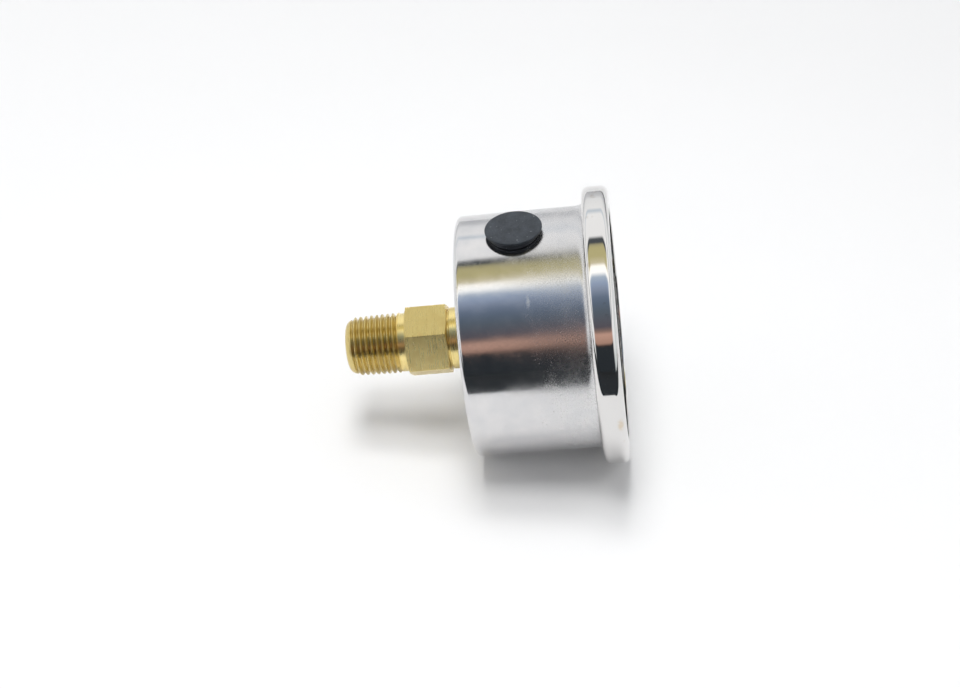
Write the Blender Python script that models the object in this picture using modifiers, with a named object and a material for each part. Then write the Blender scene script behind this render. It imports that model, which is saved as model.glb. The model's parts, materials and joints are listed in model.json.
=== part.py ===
"""Small liquid-fillable Bourdon-tube pressure gauge with a centre back connection.

Everything is a child of the empty gauge_axis. In its frame one unit is a millimetre, z runs from the end
face of the brass thread towards the dial, y is up and x is to the right of somebody reading the dial.
In the world the dial faces -Y, +Z is up and the origin is the centre of the thread's end face.
"""

import math

import bmesh
import bpy

# Driving sizes, in millimetres.
CASE_RADIUS = 20.6
CASE_WALL = 0.6
CASE_BACK_Z = 20.9
CASE_CORNER = 0.9
FLANGE_RADIUS = 22.8
FLANGE_Z = 43.1
FLARE = 2.0
BEZEL_RADIUS = 23.65
BEZEL_BACK_Z = 42.25
BEZEL_FRONT_Z = 46.7
BEZEL_WALL = 0.5
BEZEL_BACK_ROUND = 1.2
BEZEL_FRONT_ROUND = 1.3
LIP_RADIUS = 21.8
LIP_THICKNESS = 0.55
OPENING_RADIUS = 20.3
DIAL_Z = 40.8
DIAL_THICKNESS = 0.5
DIAL_RADIUS = 19.4

THREAD_PITCH = 25.4 / 27
THREAD_DEPTH = 0.72
THREAD_END_RADIUS = 4.95
THREAD_TAPER = 1 / 32
THREAD_LENGTH = 9.2
PIPE_RADIUS = 5.145
RELIEF_RADIUS = 5.0
HEX_FLATS = 11.11
HEX_Z = (10.45, 17.7)
HEX_TURN = 15.3
HEX_CHAMFER = 0.25
NECK_RADIUS = 5.25
SPIGOT_RADIUS = 4.0
BLOCK_SPIGOT_RADIUS = 2.5
SPIGOT_Z = 25.2
BLOCK_SPIGOT_Z = 27.4
BORE_RADIUS = 1.7

PLUG_Z = 31.0
PLUG_RADIUS = 4.75
PLUG_HEIGHT = 1.25
PLUG_NECK_RADIUS = 4.4
PLUG_HOLE_RADIUS = 3.3

TUBE_RADIUS = 14.0
TUBE_Z = 28.2
TUBE_HEIGHT = 4.2
TUBE_DEPTH = 1.8
TUBE_WALL = 0.3
TUBE_START = 184
TUBE_END = 480
BLOCK_Z = (25.4, 31.0)
BLOCK_HALF_WIDTH = 3.5

BACK_PLATE_Z = (31.3, 32.1)
FRONT_PLATE_Z = (37.2, 38.0)
GEAR_MODULE = 0.2
PINION_TEETH = 8
SECTOR_TEETH = 72
SECTOR_TEETH_CUT = 10
SECTOR_CLOCK = 124
SECTOR_SWING = 30
TAIL_LENGTH = 3.5
POINTER_ZERO = 225
STAFF_RADIUS = 0.4
PIVOT_HOLE_RADIUS = 0.58
TIP_PIN = (11.5, -7.9)

PILLARS = ((-3.0, -7.2), (4.5, 6.6))
MOVEMENT_SCREWS = ((0.0, 2.9), (2.2, -8.4))
DIAL_POSTS = ((-7.6, 0.0), (7.6, 0.6))


def collection(name):
    made = bpy.data.collections.new(name)
    bpy.context.scene.collection.children.link(made)
    return made


def material(name, colour, metallic, roughness, alpha=1.0):
    made = bpy.data.materials.new(name)
    made.use_nodes = True
    shader = made.node_tree.nodes["Principled BSDF"]
    shader.inputs["Base Color"].default_value = (*colour, 1.0)
    shader.inputs["Metallic"].default_value = metallic
    shader.inputs["Roughness"].default_value = roughness
    shader.inputs["Alpha"].default_value = alpha
    made.diffuse_color = (*colour, alpha)
    return made


def empty(name, parent, at=(0, 0, 0), turn=(0, 0, 0)):
    made = bpy.data.objects.new(name, None)
    PARTS.objects.link(made)
    made.parent = parent
    made.location = at
    made.rotation_euler = [math.radians(angle) for angle in turn]
    return made


def add(name, mesh, finish, parent, at=(0, 0, 0)):
    """A part when it has a finish, and a hidden helper for a Boolean when it has none."""
    made = bpy.data.objects.new(name, mesh)
    made.parent = parent
    made.location = at
    if finish:
        PARTS.objects.link(made)
        mesh.materials.append(finish)
    else:
        CUTTERS.objects.link(made)
        made.hide_render = True
        made.display_type = "WIRE"
    return made


def boolean(target, operation, helper):
    modifier = target.modifiers.new(helper.name, "BOOLEAN")
    modifier.operation = operation
    modifier.object = helper


def cut(target, helper):
    boolean(target, "DIFFERENCE", helper)


def join(target, helper):
    boolean(target, "UNION", helper)


def clock(angle, radius):
    """The point at a radius and a clock angle, in degrees clockwise from twelve."""
    turn = math.radians(angle)
    return radius * math.sin(turn), radius * math.cos(turn)


def arc(centre, radius, start, end, steps):
    """Points on an arc, from one angle to another in degrees anticlockwise from +x."""
    angles = [math.radians(start + (end - start) * step / steps) for step in range(steps + 1)]
    return [(centre[0] + radius * math.cos(a), centre[1] + radius * math.sin(a)) for a in angles]


def turned(name, outline, finish, parent, at=(0, 0, 0), steps=40):
    """Turns (radius, z) points about z. An outline that starts on the axis is closed by it."""
    area = sum(a[0] * b[1] - b[0] * a[1] for a, b in zip(outline, outline[1:] + outline[:1]))
    points = outline[::-1] if area > 0 else outline
    on_axis = outline[0][0] == 0
    edges = [(index, index + 1) for index in range(len(points) - 1)]
    if not on_axis:
        edges.append((len(points) - 1, 0))
    mesh = bpy.data.meshes.new(name)
    mesh.from_pydata([(r, 0, z) for r, z in points], edges, [])
    made = add(name, mesh, finish, parent, at)
    modifier = made.modifiers.new("turn", "SCREW")
    modifier.axis = "Z"
    modifier.steps = modifier.render_steps = steps
    modifier.use_merge_vertices = True
    modifier.merge_threshold = 0.0001
    modifier.use_smooth_shade = True
    return made


def rod(name, radius, z_range, finish, parent, at=(0, 0), steps=16):
    low, high = z_range
    return turned(name, [(0, high), (radius, high), (radius, low), (0, low)], finish, parent, (*at, 0), steps)


def ring(name, radii, z_range, finish, parent, at=(0, 0), steps=40):
    (inner, outer), (low, high) = radii, z_range
    outline = [(inner, high), (outer, high), (outer, low), (inner, low)]
    return turned(name, outline, finish, parent, (*at, 0), steps)


def prism(name, sides, flats, z_range, finish, parent, turn=0):
    """A regular prism with a corner at the angle turn, sized across its flats."""
    mesh = bpy.data.meshes.new(name)
    shape = bmesh.new()
    radius = flats / 2 / math.cos(math.pi / sides)
    low, high = z_range
    bmesh.ops.create_cone(
        shape, cap_ends=True, segments=sides, radius1=radius, radius2=radius, depth=high - low
    )
    shape.to_mesh(mesh)
    shape.free()
    made = add(name, mesh, finish, parent, (0, 0, (low + high) / 2))
    # Blender's first corner stands at +y.
    made.rotation_euler.z = math.radians(turn - 90)
    return made


def box(name, low, high, finish, parent):
    mesh = bpy.data.meshes.new(name)
    shape = bmesh.new()
    bmesh.ops.create_cube(shape, size=1)
    size = [b - a for a, b in zip(low, high)]
    bmesh.ops.scale(shape, vec=size, verts=shape.verts)
    shape.to_mesh(mesh)
    shape.free()
    return add(name, mesh, finish, parent, [(a + b) / 2 for a, b in zip(low, high)])


def flat(name, outlines, z_range, finish, parent, at=(0, 0)):
    """A flat piece from a filled 2D curve; outlines after the first are holes in it."""
    low, high = z_range
    curve = bpy.data.curves.new(name, "CURVE")
    curve.dimensions = "2D"
    curve.fill_mode = "BOTH"
    curve.extrude = (high - low) / 2
    for outline in outlines:
        spline = curve.splines.new("POLY")
        spline.points.add(len(outline) - 1)
        spline.use_cyclic_u = True
        for point, (x, y) in zip(spline.points, outline):
            point.co = (x, y, 0, 1)
    drawn = bpy.data.objects.new(name, curve)
    bpy.context.scene.collection.objects.link(drawn)
    graph = bpy.context.evaluated_depsgraph_get()
    mesh = bpy.data.meshes.new_from_object(drawn.evaluated_get(graph))
    bpy.data.objects.remove(drawn)
    mesh.name = name
    shape = bmesh.new()
    shape.from_mesh(mesh)
    bmesh.ops.remove_doubles(shape, verts=shape.verts, dist=0.0001)
    bmesh.ops.recalc_face_normals(shape, faces=shape.faces)
    shape.to_mesh(mesh)
    shape.free()
    return add(name, mesh, finish, parent, (*at, (low + high) / 2))


def circle(radius, at=(0, 0), steps=16):
    return arc(at, radius, 0, 360, steps)[:-1]


def rounded(corners, radius, steps=3):
    """A convex outline, anticlockwise, with each corner replaced by an arc that touches both its sides."""
    points = []
    for index, corner in enumerate(corners):
        before, after = corners[index - 1], corners[(index + 1) % len(corners)]
        into = math.atan2(corner[1] - before[1], corner[0] - before[0])
        out = math.atan2(after[1] - corner[1], after[0] - corner[0])
        bend = (out - into) % (2 * math.pi)
        reach = radius / math.cos(bend / 2)
        middle = into + bend / 2 + math.pi / 2
        centre = (corner[0] + reach * math.cos(middle), corner[1] + reach * math.sin(middle))
        start = math.degrees(into) - 90
        points += arc(centre, radius, start, start + math.degrees(bend), steps)
    return points


def bar(start, end, half_width, steps=6):
    """The outline of a strip with round ends."""
    heading = math.degrees(math.atan2(end[1] - start[1], end[0] - start[0]))
    far = arc(end, half_width, heading - 90, heading + 90, steps)
    return far + arc(start, half_width, heading + 90, heading + 270, steps)


def teeth(count, whole, middle):
    """The tips and roots of gear teeth with straight flanks; the row of teeth is centred on an angle."""
    pitch_radius = GEAR_MODULE * whole / 2
    tip, root = pitch_radius + 0.8 * GEAR_MODULE, pitch_radius - 1.25 * GEAR_MODULE
    step = 360 / whole
    points = []
    for tooth in range(count):
        centre = middle + (tooth - (count - 1) / 2) * step
        for reach, radius in ((-0.25, root), (-0.125, tip), (0.125, tip), (0.25, root)):
            angle = math.radians(centre + reach * step)
            points.append((radius * math.cos(angle), radius * math.sin(angle)))
    return points


def screw(name, at, under_head_z, finish, head=(1.15, 0.7), shank=(0.55, 3.0)):
    """A slotted cheese-head screw whose head faces the dial."""
    (head_radius, head_height), (shank_radius, shank_length) = head, shank
    top = under_head_z + head_height
    outline = [
        (0, top),
        (head_radius - 0.15, top),
        (head_radius, top - 0.15),
        (head_radius, under_head_z),
        (shank_radius, under_head_z),
        (shank_radius, under_head_z - shank_length),
        (0, under_head_z - shank_length),
    ]
    made = turned(name, outline, finish, GAUGE, (*at, 0), 16)
    reach = head_radius + 1
    low = (at[0] - reach, at[1] - 0.16, top - 0.3)
    high = (at[0] + reach, at[1] + 0.16, top + 1)
    cut(made, box(name + "_slot", low, high, None, GAUGE))
    return made


def helical_thread(name):
    """A tapered right-hand thread, longer than needed at both ends, which the socket's blank trims."""
    profile = ((0.0, 0.0), (0.14, 0.0), (0.5, 1.0), (0.64, 1.0))
    around, per_pitch = 20, len(profile)
    first = -THREAD_PITCH
    rows = per_pitch * (math.ceil(THREAD_LENGTH / THREAD_PITCH) + 1)
    shape = bmesh.new()

    def point(row, column):
        turns, step = divmod(row, per_pitch)
        phase, height = profile[step]
        z = first + (turns + phase + column / around) * THREAD_PITCH
        crest = min(THREAD_END_RADIUS + THREAD_TAPER * z, PIPE_RADIUS)
        radius = crest - THREAD_DEPTH * (1 - height)
        angle = math.tau * column / around
        return shape.verts.new((radius * math.cos(angle), radius * math.sin(angle), z))

    grid = [[point(row, column) for column in range(around)] for row in range(rows + 1)]
    grid += [[point(row, 0)] for row in range(rows + 1, rows + per_pitch + 1)]

    def at(row, column):
        return grid[row + per_pitch][0] if column == around else grid[row][column]

    for row in range(rows):
        for column in range(around):
            corners = [(row, column), (row, column + 1), (row + 1, column + 1), (row + 1, column)]
            shape.faces.new([at(*corner) for corner in corners])
    for row, beyond in ((0, -1.0), (rows, 1.0)):
        rim = [at(row, column) for column in range(around + 1)]
        rim += [at(row + step, 0) for step in range(per_pitch - 1, 0, -1)]
        hub = shape.verts.new((0, 0, rim[0].co.z + beyond))
        for one, two in zip(rim, rim[1:] + rim[:1]):
            shape.faces.new((one, two, hub))
    bmesh.ops.recalc_face_normals(shape, faces=shape.faces)
    mesh = bpy.data.meshes.new(name)
    shape.to_mesh(mesh)
    shape.free()
    return add(name, mesh, BRASS, GAUGE)


def make_socket():
    """Thread, hexagon, neck and spigots: one turned brass piece with the pressure bore through it."""
    socket = helical_thread("socket")
    trim = [(0, THREAD_LENGTH), (7, THREAD_LENGTH), (7, 1.0), (4.85, 1.0)]
    trim += arc((3.6, 1.1), 1.1, 0, -90, 3)[1:] + [(0, 0)]
    boolean(socket, "INTERSECT", turned("thread_trim", trim, None, GAUGE))
    hexagon = prism("hexagon", 6, HEX_FLATS, HEX_Z, None, GAUGE, HEX_TURN)
    corner_radius = HEX_FLATS / 2 / math.cos(math.pi / 6)
    low, high = HEX_Z
    chamfer = [
        (0, high),
        (HEX_FLATS / 2, high),
        (corner_radius + 0.05, high - HEX_CHAMFER),
        (corner_radius + 0.05, low + HEX_CHAMFER),
        (HEX_FLATS / 2, low),
        (0, low),
    ]
    boolean(hexagon, "INTERSECT", turned("hexagon_chamfer", chamfer, None, GAUGE, steps=36))
    core = [
        (0, BLOCK_SPIGOT_Z),
        (BLOCK_SPIGOT_RADIUS, BLOCK_SPIGOT_Z),
        (BLOCK_SPIGOT_RADIUS, SPIGOT_Z),
        (SPIGOT_RADIUS, SPIGOT_Z),
        (SPIGOT_RADIUS, CASE_BACK_Z - 0.2),
        (NECK_RADIUS, CASE_BACK_Z - 0.2),
        (NECK_RADIUS, high + 0.45),
        (NECK_RADIUS - 0.45, high + 0.25),
        (NECK_RADIUS - 0.45, high - 0.5),
        (RELIEF_RADIUS, high - 0.5),
        (RELIEF_RADIUS, THREAD_LENGTH - 0.1),
        (3.9, THREAD_LENGTH - 0.1),
        (3.9, THREAD_LENGTH - 1.0),
        (0, THREAD_LENGTH - 1.0),
    ]
    join(socket, turned("socket_core", core, None, GAUGE, steps=32))
    join(socket, hexagon)
    bore = [(0, 29), (1.0, 29), (1.0, 10.0), (BORE_RADIUS, 9.6), (BORE_RADIUS, -1), (0, -1)]
    cut(socket, turned("socket_bore", bore, None, GAUGE, steps=20))


def make_restrictor():
    screw_outline = [(0, 9.0), (1.45, 9.0), (1.45, 5.3), (1.25, 5.0), (0, 5.0)]
    restrictor = turned("restrictor_screw", screw_outline, BRASS, GAUGE, steps=16)
    cut(restrictor, rod("restrictor_hole", 0.25, (4, 10), None, GAUGE, steps=8))
    cut(restrictor, box("restrictor_slot", (-2, -0.2, 4), (2, 0.2, 5.6), None, GAUGE))


def make_case():
    """The deep-drawn cup: back with a centre hole, side wall, and a flared rim that the bezel grips."""
    inner = CASE_RADIUS - CASE_WALL
    back, corner = CASE_BACK_Z, CASE_CORNER
    flare_z = FLANGE_Z - FLARE
    outline = [(SPIGOT_RADIUS + 0.3, back), (CASE_RADIUS - corner, back)]
    outline += arc((CASE_RADIUS - corner, back + corner), corner, -90, 0, 4)[1:]
    outline += arc((CASE_RADIUS + FLARE, flare_z), FLARE, 180, 90, 4)
    outline += [(FLANGE_RADIUS, FLANGE_Z), (FLANGE_RADIUS, FLANGE_Z + CASE_WALL)]
    outline += arc((CASE_RADIUS + FLARE, flare_z), FLARE + CASE_WALL, 90, 180, 4)
    bend = corner - CASE_WALL
    outline += arc((inner - bend, back + corner), bend, 0, -90, 2)
    outline += [(SPIGOT_RADIUS + 0.3, back + CASE_WALL)]
    case = turned("case_shell", outline, STEEL, GAUGE)
    cut(case, rod("fill_hole", PLUG_HOLE_RADIUS, (15, 25), None, PLUG_AXIS, steps=24))


def make_bezel():
    """The crimped ring: a lip behind the case's rim, a polished band and a lip in front of the window."""
    back, front, rim = BEZEL_BACK_Z, BEZEL_FRONT_Z, BEZEL_RADIUS
    front_arc_at = (rim - BEZEL_FRONT_ROUND, front - BEZEL_FRONT_ROUND)
    back_arc_at = (rim - BEZEL_BACK_ROUND, back + BEZEL_BACK_ROUND)
    inside, lip_back, lip_front = rim - BEZEL_WALL, back + BEZEL_WALL, front - LIP_THICKNESS
    outline = [(OPENING_RADIUS, front - 0.15), (OPENING_RADIUS + 0.15, front)]
    outline += arc(front_arc_at, BEZEL_FRONT_ROUND, 90, 0, 4)
    outline += arc(back_arc_at, BEZEL_BACK_ROUND, 0, -90, 4)
    outline += [(LIP_RADIUS, back), (LIP_RADIUS, lip_back), (inside - 0.45, lip_back), (inside, lip_back + 0.45)]
    outline += [(inside, lip_front - 0.6), (inside - 0.55, lip_front), (OPENING_RADIUS, lip_front)]
    turned("bezel_ring", outline, STEEL, GAUGE, steps=48)


def make_window():
    face = BEZEL_FRONT_Z - 0.85
    edge = [(0, face), (22.2, face), (22.5, face - 0.3), (22.5, 44.4), (0, 44.4)]
    turned("window_lens", edge, CLEAR, GAUGE)
    ring("window_gasket", (20.4, 22.6), (FLANGE_Z + CASE_WALL + 0.2, 44.2), RUBBER, GAUGE)


def make_plug():
    """The rubber fill plug: a flat-domed head that follows the case, a stem and a bead inside the case."""
    head_top = CASE_RADIUS + PLUG_HEIGHT
    head = [
        (0, head_top),
        (3.0, head_top - 0.06),
        (PLUG_RADIUS - 0.25, head_top - 0.15),
        (PLUG_RADIUS, head_top - 0.35),
        (PLUG_RADIUS, head_top - 0.75),
        (PLUG_NECK_RADIUS, head_top - 0.95),
        (PLUG_NECK_RADIUS, CASE_RADIUS - 1.2),
        (0, CASE_RADIUS - 1.2),
    ]
    plug = turned("fill_plug", head, RUBBER, PLUG_AXIS, steps=32)
    cut(plug, rod("plug_seat", CASE_RADIUS + 0.12, (PLUG_Z - 8, PLUG_Z + 8), None, GAUGE, steps=96))
    stem = [(0, 21.4), (2.9, 21.4), (2.9, 19.5), (3.1, 19.1), (3.1, 18.6), (2.5, 18.2), (0, 18.2)]
    join(plug, turned("plug_stem", stem, None, PLUG_AXIS, steps=24))


def make_socket_fixing():
    """The seal, washer and nut that clamp the case on the socket's spigot."""
    hole = SPIGOT_RADIUS + 0.3
    ring("socket_seal", (hole, 6.5), (21.7, 22.3), RUBBER, GAUGE, steps=32)
    ring("lock_washer", (hole, 6.3), (22.5, 22.9), STEEL, GAUGE, steps=32)
    nut = prism("lock_nut", 6, 11.0, (23.1, 25.1), BRASS, GAUGE)
    cut(nut, rod("lock_nut_hole", SPIGOT_RADIUS + 0.25, (22, 26), None, GAUGE, steps=24))


def make_block():
    """The brass block that carries the tube's root and the movement, with its pressure passages."""
    low, high = BLOCK_Z
    block = box("tube_block", (-BLOCK_HALF_WIDTH, -17.2, low), (BLOCK_HALF_WIDTH, 4.6, high), BRASS, GAUGE)
    cut(block, rod("block_socket", BLOCK_SPIGOT_RADIUS + 0.2, (low - 1, BLOCK_SPIGOT_Z + 0.6), None, GAUGE))
    pocket_low = (-BLOCK_HALF_WIDTH - 1, -16.2, TUBE_Z - TUBE_HEIGHT / 2 - 0.15)
    pocket_high = (0.7, -12.3, TUBE_Z + TUBE_HEIGHT / 2 + 0.15)
    cut(block, box("root_pocket", pocket_low, pocket_high, None, GAUGE))
    passage_axis = empty("passage_axis", GAUGE, (0, 0, TUBE_Z - 0.4), (90, 0, 0))
    cut(block, rod("passage", 0.7, (0, 13.5), None, passage_axis, steps=12))
    for number, at in enumerate(MOVEMENT_SCREWS, 1):
        cut(block, rod(f"movement_hole_{number}", 0.75, (28.4, high + 1), None, GAUGE, at))
        screw(f"movement_screw_{number}", at, BACK_PLATE_Z[1] + 0.15, STEEL, shank=(0.55, 3.4))


def make_tube():
    """The Bourdon tube: a hollow flat oval bent to a C, open where it enters the block and at its tip."""
    around, stations = 10, 34

    def oval(shape, clock_angle, radial, axial):
        ring_of = []
        for index in range(around):
            angle = math.tau * index / around
            x, y = clock(clock_angle, TUBE_RADIUS + radial * math.cos(angle))
            ring_of.append(shape.verts.new((x, y, TUBE_Z + axial * math.sin(angle))))
        return ring_of

    shape = bmesh.new()
    skins = []
    for inset in (0, TUBE_WALL):
        radial, axial = TUBE_DEPTH / 2 - inset, TUBE_HEIGHT / 2 - inset
        angles = [TUBE_START + (TUBE_END - TUBE_START) * k / stations for k in range(stations + 1)]
        skins.append([oval(shape, angle, radial, axial) for angle in angles])
    for skin in skins:
        for one, two in zip(skin, skin[1:]):
            for k in range(around):
                shape.faces.new((one[k], one[k - 1], two[k - 1], two[k]))
    for end in (0, -1):
        outside, inside = skins[0][end], skins[1][end]
        for k in range(around):
            shape.faces.new((outside[k], outside[k - 1], inside[k - 1], inside[k]))
    bmesh.ops.recalc_face_normals(shape, faces=shape.faces)
    mesh = bpy.data.meshes.new("bourdon_tube")
    shape.to_mesh(mesh)
    shape.free()
    tube = add("bourdon_tube", mesh, BRONZE, TUBE_ROOT)
    tube.location = [-part for part in TUBE_ROOT.location]


def make_tip():
    """The piece that closes the tube's end and carries the link's pin on an ear."""
    inner, outer = TUBE_RADIUS - 1.1, TUBE_RADIUS + 1.1
    start, end = TUBE_END - 360 + 0.8, TUBE_END - 360 + 10.5
    outline = [clock(start, inner), clock(start, outer), clock(end, outer), clock(end, inner)]
    root = tuple(TUBE_ROOT.location)[:2]
    at = (-root[0], -root[1])
    tip = flat("tube_tip", [outline], (TUBE_Z - 2.2, 33.4), BRASS, TUBE_ROOT, at)
    ear = flat("tip_ear", [circle(0.95, TIP_PIN, 12)], (32.4, 33.4), None, TUBE_ROOT, at)
    join(tip, ear)
    cut(tip, rod("tip_hole", 0.45, (31.9, 34), None, TUBE_ROOT, (TIP_PIN[0] + at[0], TIP_PIN[1] + at[1]), 12))
    pin = [(0, 35.3), (0.3, 35.3), (0.3, 32.6), (0, 32.6)]
    turned("tip_pin", pin, STEEL, TUBE_ROOT, (TIP_PIN[0] + at[0], TIP_PIN[1] + at[1], 0), 10)


def make_movement_frame():
    """Two plates on two pillars, with holes for the arbors and the screws."""
    sector = tuple(SECTOR_AXIS.location)[:2]
    corners = [(-5.5, -10.2), (5.0, -10.2), (8.9, -6.5), (8.9, 2.4), (6.4, 8.6), (-3.0, 8.6), (-9.3, 3.0)]
    corners.append((-9.3, -5.0))
    outline = rounded(corners, 1.2)
    pivots = [circle(PIVOT_HOLE_RADIUS, steps=12), circle(PIVOT_HOLE_RADIUS, sector, 12)]
    screw_holes = [circle(0.75, at, 12) for at in MOVEMENT_SCREWS]
    pillar_holes = [circle(0.75, at, 12) for at in PILLARS]
    post_holes = [circle(0.75, at, 12) for at in DIAL_POSTS]
    flat("back_plate", [outline] + pivots + screw_holes, BACK_PLATE_Z, BRASS, GAUGE)
    flat("front_plate", [outline] + pivots + pillar_holes + post_holes, FRONT_PLATE_Z, BRASS, GAUGE)
    low, high = BACK_PLATE_Z[1] + 0.15, FRONT_PLATE_Z[0] - 0.15
    for number, at in enumerate(PILLARS, 1):
        pillar = rod(f"pillar_{number}", 1.15, (low, high), BRASS, GAUGE, at)
        cut(pillar, rod(f"pillar_tapping_{number}", 0.7, (high - 2.6, high + 1), None, GAUGE, at, 12))
        screw(f"plate_screw_{number}", at, FRONT_PLATE_Z[1] + 0.15, STEEL, (1.1, 0.6), (0.5, 3.0))
    for number, at in enumerate(DIAL_POSTS, 1):
        foot, top = FRONT_PLATE_Z[0] - 0.5, DIAL_Z - 0.15
        outline = [(0, top), (1.2, top), (1.2, FRONT_PLATE_Z[1] + 0.15), (0.55, FRONT_PLATE_Z[1] + 0.15)]
        outline += [(0.55, foot), (0, foot)]
        post = turned(f"dial_post_{number}", outline, BRASS, GAUGE, (*at, 0), 16)
        cut(post, rod(f"post_tapping_{number}", 0.65, (top - 2.0, top + 1), None, GAUGE, at, 12))


def make_pinion():
    """The centre pinion, cut on the staff that carries the pointer."""
    line = math.degrees(math.atan2(SECTOR_AXIS.location.y, SECTOR_AXIS.location.x))
    half_step = 180 / PINION_TEETH
    # An even row of teeth has a space at its middle, so half a step brings a tooth onto the line of centres.
    outline = teeth(PINION_TEETH, PINION_TEETH, line + half_step)
    pinion = flat("centre_pinion", [outline], (33.4, 35.4), BRASS, POINTER_AXIS)
    join(pinion, rod("staff", STAFF_RADIUS, (31.4, 43.0), None, POINTER_AXIS, steps=12))
    shoulder = [(0, 37.0), (0.62, 37.0), (0.62, 36.9), (0, 36.9)]
    join(pinion, turned("staff_shoulder", shoulder, None, POINTER_AXIS, steps=12))


def make_sector():
    """The toothed sector, with a tail for the link, on its own arbor."""
    toward_pinion = math.degrees(math.atan2(-SECTOR_AXIS.location.y, -SECTOR_AXIS.location.x))
    middle = toward_pinion - SECTOR_SWING / 2
    rim = teeth(SECTOR_TEETH_CUT, SECTOR_TEETH, middle)
    half = SECTOR_TEETH_CUT / 2 * 360 / SECTOR_TEETH
    hub = arc((0, 0), 1.3, middle + 90, middle + 270, 6)
    web = arc((0, 0), 5.2, middle + half - 4, middle - half + 4, 6)
    slot = web + arc((0, 0), 2.6, middle - half + 10, middle + half - 10, 3)
    sector = flat("sector_gear", [rim + hub, slot, circle(0.5, steps=12)], (34.0, 34.7), BRASS, SECTOR_AXIS)
    tail_end = tuple(LINK_AXIS.location)[:2]
    tail = flat("sector_tail", [bar((0, 0), tail_end, 0.75)], (34.0, 34.7), None, SECTOR_AXIS)
    join(sector, tail)
    cut(sector, rod("arbor_hole", 0.5, (33, 36), None, SECTOR_AXIS, steps=12))
    cut(sector, rod("tail_hole", 0.42, (33, 36), None, SECTOR_AXIS, tail_end, 12))
    rod("sector_arbor", STAFF_RADIUS, (31.45, 37.85), STEEL, SECTOR_AXIS, steps=12)


def make_link():
    """The flat link between the sector's tail and the tube's tip, and the pin through the tail."""
    reach = [TIP_PIN[k] - SECTOR_AXIS.location[k] - LINK_AXIS.location[k] for k in (0, 1)]
    holes = [circle(0.42, steps=12), circle(0.5, reach, 12)]
    flat("link", [bar((0, 0), reach, 0.85)] + holes, (34.95, 35.3), BRASS, LINK_AXIS)
    pin = [(0, 35.8), (0.6, 35.8), (0.6, 35.5), (0.3, 35.5), (0.3, 33.7), (0, 33.7)]
    turned("tail_pin", pin, STEEL, SECTOR_AXIS, (*tuple(LINK_AXIS.location)[:2], 0), 10)


def make_hairspring():
    """A flat spiral strip from the collet on the staff to a stud between the plates."""
    inner, outer, turns, thickness = 1.45, 3.5, 4, 0.12
    steps = 14 * turns
    inside, outside = [], []
    for step in range(steps + 1):
        part = step / steps
        angle = math.radians(-60) + math.tau * turns * part
        radius = inner + (outer - inner) * part
        inside.append(((radius - thickness / 2) * math.cos(angle), (radius - thickness / 2) * math.sin(angle)))
        outside.append(((radius + thickness / 2) * math.cos(angle), (radius + thickness / 2) * math.sin(angle)))
    flat("hairspring", [inside + outside[::-1]], (35.75, 36.45), BRONZE, GAUGE)
    ring("hairspring_collet", (0.6, 1.2), (35.7, 36.5), BRASS, POINTER_AXIS, steps=16)
    angle = math.radians(-60)
    stud_at = ((outer + 0.75) * math.cos(angle), (outer + 0.75) * math.sin(angle))
    rod("hairspring_stud", 0.45, (35.6, FRONT_PLATE_Z[0] - 0.15), BRASS, GAUGE, stud_at, 12)


def make_dial():
    back, face = DIAL_Z, DIAL_Z + DIAL_THICKNESS
    pin_at = clock(POINTER_ZERO - 5, 12.5)
    holes = [circle(1.2), circle(0.6, pin_at, 12)] + [circle(0.75, at, 12) for at in DIAL_POSTS]
    flat("dial_plate", [circle(DIAL_RADIUS, steps=48)] + holes, (back, face), WHITE, GAUGE)
    rod("stop_pin", 0.4, (back - 0.8, 43.2), STEEL, GAUGE, pin_at, 10)
    for number, at in enumerate(DIAL_POSTS, 1):
        screw(f"dial_screw_{number}", at, face + 0.1, STEEL, (1.2, 0.45), (0.5, 2.2))


def make_pointer():
    """The pointer with its counterweight, pressed on a stepped hub."""
    low, high = 42.45, 42.75
    turn = math.radians(90 - POINTER_ZERO)

    def place(along, across):
        x = along * math.cos(turn) - across * math.sin(turn)
        y = along * math.sin(turn) + across * math.cos(turn)
        return x, y

    half = [(-6.0, 0.9), (-3.5, 0.9), (-1.5, 0.45), (1.5, 0.55), (14.8, 0.16)]
    outline = [place(a, -b) for a, b in half] + [place(a, b) for a, b in half[::-1]]
    pointer = flat("pointer", [outline], (low, high), BLACK, POINTER_AXIS)
    join(pointer, rod("pointer_boss", 1.75, (low, high), None, POINTER_AXIS, steps=24))
    cut(pointer, rod("pointer_hole", 1.05, (low - 1, high + 1), None, POINTER_AXIS, steps=16))
    outline = [(0.55, 43.35), (1.3, 43.35), (1.45, 43.2), (1.45, high + 0.12), (0.9, high + 0.12)]
    outline += [(0.9, 41.75), (0.55, 41.75)]
    turned("pointer_hub", outline, BRASS, POINTER_AXIS, steps=24)


for old in list(bpy.data.objects):
    bpy.data.objects.remove(old)
PARTS = collection("pressure_gauge")
CUTTERS = collection("cutters")

STEEL = material("stainless_steel", (0.72, 0.72, 0.73), 1.0, 0.22)
BRASS = material("brass", (0.60, 0.46, 0.20), 1.0, 0.32)
BRONZE = material("phosphor_bronze", (0.55, 0.34, 0.17), 1.0, 0.30)
RUBBER = material("black_rubber", (0.03, 0.033, 0.036), 0.0, 0.6)
CLEAR = material("clear_window", (0.93, 0.97, 0.95), 0.0, 0.05, 0.3)
WHITE = material("dial_white", (0.85, 0.85, 0.83), 0.0, 0.5)
BLACK = material("pointer_black", (0.02, 0.02, 0.02), 0.0, 0.45)

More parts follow.
